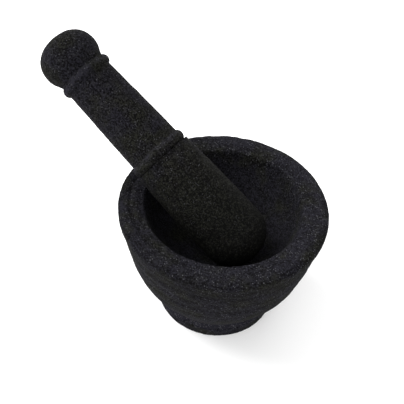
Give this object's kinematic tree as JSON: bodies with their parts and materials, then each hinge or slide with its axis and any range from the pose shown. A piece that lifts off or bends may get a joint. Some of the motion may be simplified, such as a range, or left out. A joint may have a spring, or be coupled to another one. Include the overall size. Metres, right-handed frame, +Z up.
{
  "type": "molcajete",
  "caption": "Stone mortar with a deep round bowl, flat rim and ring foot, and a beaded stone pestle leaning in it, for grinding spices and sauces.",
  "frame": {"origin": "centre of the mortar's flat base, in the plane of the surface it stands on", "axes": "+Z up along the mortar's turned axis; the pestle leans towards -X, so +X is the long direction of the whole object and +Y is its short one"},
  "size_m": [0.2213, 0.15, 0.193],
  "materials": {
    "basalt": "rough pecked dark basalt with small open pores and light mineral specks",
    "handled_basalt": "dark basalt, rubbed a little smoother by the hand and by grinding"
  },
  "bodies": {
    "mortar": {"mortar": "basalt"},
    "pestle": {"pestle": "handled_basalt"}
  },
  "joints": [
    {"name": "pestle_lift", "type": "slide", "parent": "mortar", "child": "pestle", "axis": [0, 0, 1], "range_m": [0, 0.1]}
  ]
}
